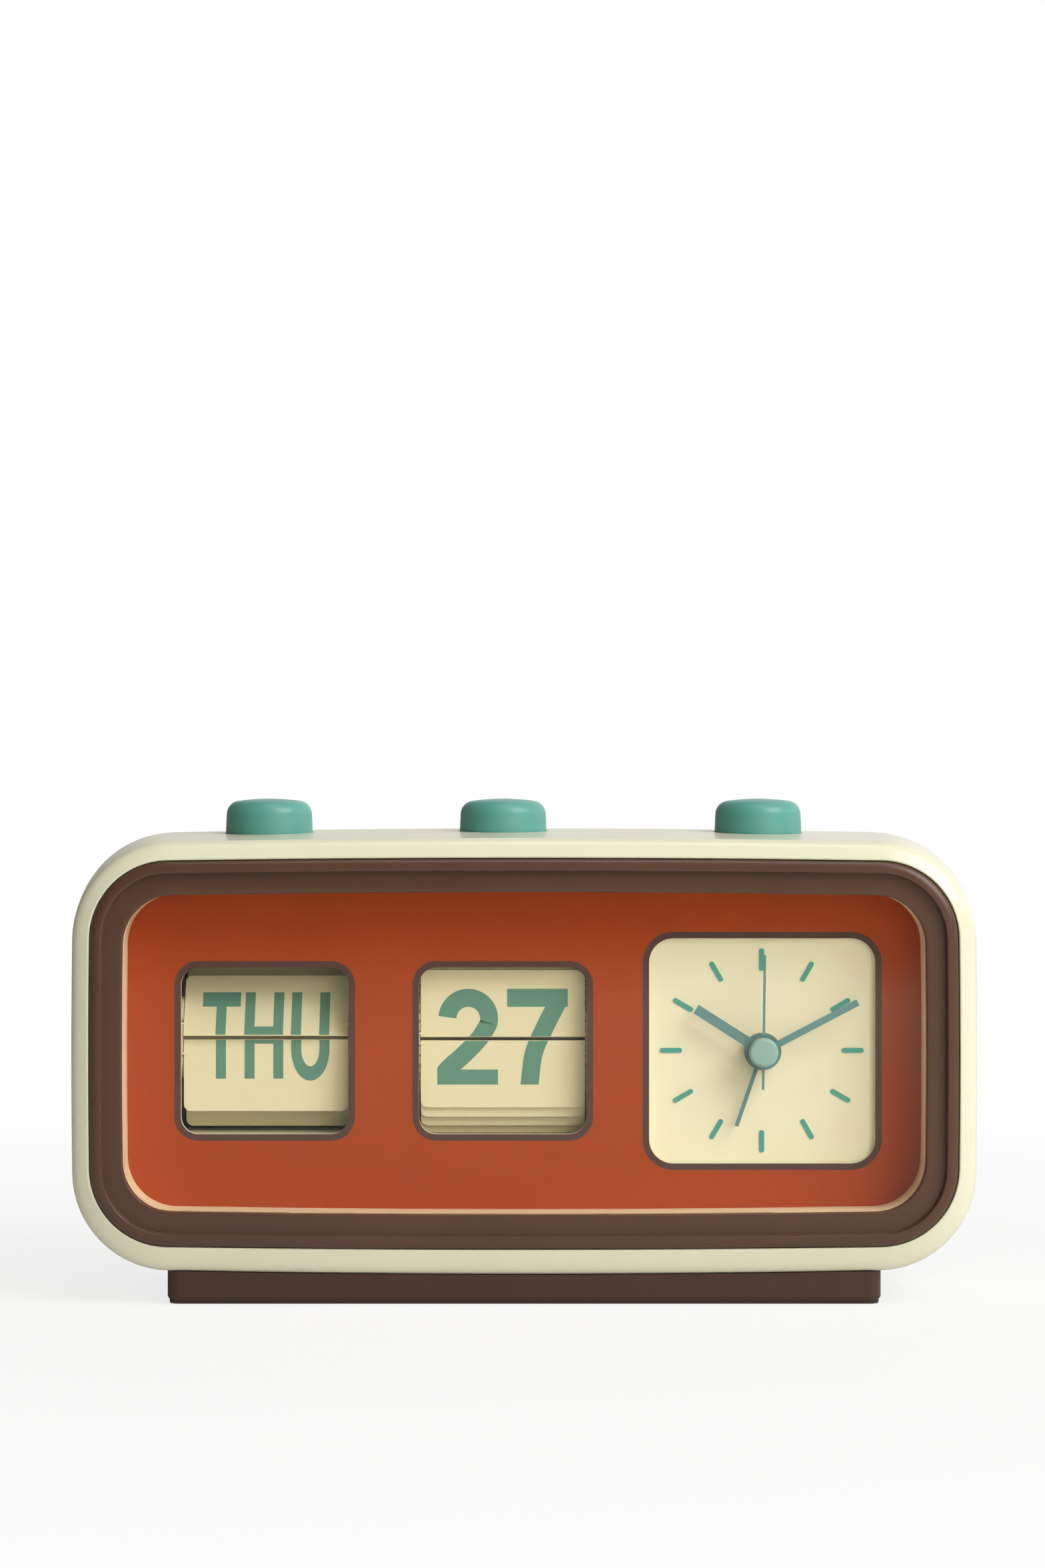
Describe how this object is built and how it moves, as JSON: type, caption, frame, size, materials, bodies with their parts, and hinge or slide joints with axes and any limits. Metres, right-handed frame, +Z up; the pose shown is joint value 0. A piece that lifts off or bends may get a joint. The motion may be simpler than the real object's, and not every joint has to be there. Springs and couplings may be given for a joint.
{
  "type": "desk clock with calendar",
  "caption": "Low rounded desk clock with split-flap day and date windows, an analogue alarm dial, a push button above each and a shallow plinth.",
  "frame": {"origin": "on the table under the middle of the clock's overall box", "axes": "+X to the right seen from the front, +Y towards the back, +Z up; the dial faces -Y"},
  "size_m": [0.1824, 0.063, 0.101],
  "materials": {
    "case_cream": "polished cream moulding",
    "trim_brown": "satin dark brown moulding",
    "foot_rubber": "matt black rubber",
    "lens_clear": "clear polished sheet",
    "surround_cream": "smooth cream moulding",
    "panel_orange": "matt orange-brown, dark brown printed borders round the windows",
    "dial_cream": "matt cream",
    "dial_teal": "printed green bars",
    "hand_grey": "grey-green lacquer",
    "cap_pale": "pale green moulding",
    "brass": "turned",
    "movement_black": "black moulding",
    "steel": "zinc plated",
    "cell_sleeve": "plain sleeve",
    "button_teal": "polished teal moulding",
    "card_cream": "thin cream card sheet with green lettering",
    "unit_cream": "cream moulding",
    "unit_grey": "dark moulding"
  },
  "bodies": {
    "case": {"alarm_return_spring": "steel", "alarm_switch_blades": "steel", "alarm_switch_bracket": "steel", "base_feet": "foot_rubber", "base_plinth": "trim_brown", "battery_cell": "cell_sleeve", "battery_contacts": "steel", "bezel": "trim_brown", "buzzer": "movement_black", "cover_screws": "steel", "date_axle": "steel", "date_detent_spring": "steel", "date_frame": "unit_grey", "date_return_spring": "steel", "date_unit_screws": "steel", "day_axle": "steel", "day_detent_spring": "steel", "day_frame": "unit_grey", "day_return_spring": "steel", "day_unit_screws": "steel", "dial_nut": "brass", "dial_plate": "dial_cream", "face_panel": "panel_orange", "hour_marks": "dial_teal", "inner_surround": "surround_cream", "lens": "lens_clear", "main_housing": "case_cream", "movement_case": "movement_black", "movement_cover": "movement_black", "rear_cover": "trim_brown"},
    "day_button_body": {"day_button": "button_teal", "day_push_slider": "unit_grey"},
    "day_pawl_body": {"day_pawl": "unit_grey"},
    "day_drum_body": {"day_drum": "unit_cream", "day_ratchet": "unit_grey", "day_card_pack": "card_cream"},
    "day_card_body": {"day_falling_card": "card_cream"},
    "date_button_body": {"date_button": "button_teal", "date_push_slider": "unit_grey"},
    "date_pawl_body": {"date_pawl": "unit_grey"},
    "date_drum_body": {"date_drum": "unit_cream", "date_ratchet": "unit_grey", "date_card_pack": "card_cream"},
    "date_card_body": {"date_falling_card": "card_cream"},
    "alarm_button_body": {"alarm_button": "button_teal"},
    "minute_hand_body": {"minute_hand": "hand_grey"},
    "hour_hand_body": {"hour_hand": "hand_grey"},
    "second_hand_body": {"second_hand": "hand_grey", "hand_cap": "cap_pale"},
    "alarm_hand_body": {"alarm_hand": "hand_grey"},
    "time_knob_body": {"time_knob": "movement_black"},
    "alarm_knob_body": {"alarm_knob": "movement_black"},
    "battery_door_body": {"battery_door": "trim_brown"}
  },
  "joints": [
    {"name": "day_button_press", "type": "slide", "parent": "case", "child": "day_button_body", "axis": [0, 0, -1], "range_m": [0, 0.00401], "stiffness_N_per_m": 220, "springref_m": -0.004, "deforming": ["day_return_spring"]},
    {"name": "day_pawl_swing", "type": "hinge", "parent": "day_button_body", "child": "day_pawl_body", "pos_m": [-0.0343, -0.0134, 0.0641], "axis": [-1, 0, 0], "range_deg": [0, 3]},
    {"name": "day_drum_step", "type": "hinge", "parent": "case", "child": "day_drum_body", "pos_m": [-0.0523, -0.00659, 0.0521], "axis": [1, 0, 0], "range_deg": [0, 51.43]},
    {"name": "day_card_fall", "type": "hinge", "parent": "day_drum_body", "child": "day_card_body", "pos_m": [-0.0523, -0.0129, 0.05514], "axis": [1, 0, 0], "range_deg": [0, 164.57]},
    {"name": "date_button_press", "type": "slide", "parent": "case", "child": "date_button_body", "axis": [0, 0, -1], "range_m": [0, 0.0021], "stiffness_N_per_m": 220, "springref_m": -0.004, "deforming": ["date_return_spring"]},
    {"name": "date_pawl_swing", "type": "hinge", "parent": "date_button_body", "child": "date_pawl_body", "pos_m": [0.0137, -0.0134, 0.0641], "axis": [-1, 0, 0], "range_deg": [0, 3]},
    {"name": "date_drum_step", "type": "hinge", "parent": "case", "child": "date_drum_body", "pos_m": [-0.0043, -0.00295, 0.0521], "axis": [1, 0, 0], "range_deg": [0, 11.61]},
    {"name": "date_card_fall", "type": "hinge", "parent": "date_drum_body", "child": "date_card_body", "pos_m": [-0.0043, -0.0129, 0.05311], "axis": [1, 0, 0], "range_deg": [0, 169.39]},
    {"name": "alarm_button_press", "type": "slide", "parent": "case", "child": "alarm_button_body", "axis": [0, 0, -1], "range_m": [0, 0.0025], "stiffness_N_per_m": 300, "springref_m": -0.003, "deforming": ["alarm_return_spring"]},
    {"name": "minute_hand_turn", "type": "hinge", "parent": "case", "child": "minute_hand_body", "pos_m": [0.048, -0.0213, 0.0499], "axis": [0, 1, 0], "continuous": true},
    {"name": "hour_hand_turn", "type": "hinge", "parent": "case", "child": "hour_hand_body", "pos_m": [0.048, -0.0197, 0.0499], "axis": [0, 1, 0], "continuous": true},
    {"name": "second_hand_turn", "type": "hinge", "parent": "case", "child": "second_hand_body", "pos_m": [0.048, -0.0227, 0.0499], "axis": [0, 1, 0], "continuous": true},
    {"name": "alarm_hand_turn", "type": "hinge", "parent": "case", "child": "alarm_hand_body", "pos_m": [0.048, -0.0181, 0.0499], "axis": [0, 1, 0], "continuous": true},
    {"name": "time_knob_turn", "type": "hinge", "parent": "case", "child": "time_knob_body", "pos_m": [0.048, 0.0285, 0.0499], "axis": [0, 1, 0], "continuous": true},
    {"name": "alarm_knob_turn", "type": "hinge", "parent": "case", "child": "alarm_knob_body", "pos_m": [0.07, 0.0285, 0.0699], "axis": [0, 1, 0], "continuous": true},
    {"name": "battery_door_hinge", "type": "hinge", "parent": "case", "child": "battery_door_body", "pos_m": [0.048, 0.02475, 0.02145], "axis": [-1, 0, 0], "range_deg": [0, 95]}
  ],
  "couplings": [
    {"joint": "day_pawl_swing", "follows": "day_button_press", "rad_per_m": 13.06},
    {"joint": "day_drum_step", "follows": "day_button_press", "rad_per_m": 223.89},
    {"joint": "day_card_fall", "follows": "day_button_press", "rad_per_m": 716.45},
    {"joint": "date_pawl_swing", "follows": "date_button_press", "rad_per_m": 24.882},
    {"joint": "date_drum_step", "follows": "date_button_press", "rad_per_m": 96.319},
    {"joint": "date_card_fall", "follows": "date_button_press", "rad_per_m": 1404.9},
    {"joint": "minute_hand_turn", "follows": "time_knob_turn", "ratio": 1},
    {"joint": "hour_hand_turn", "follows": "time_knob_turn", "ratio": 0.083333},
    {"joint": "alarm_hand_turn", "follows": "alarm_knob_turn", "ratio": -0.33333}
  ]
}
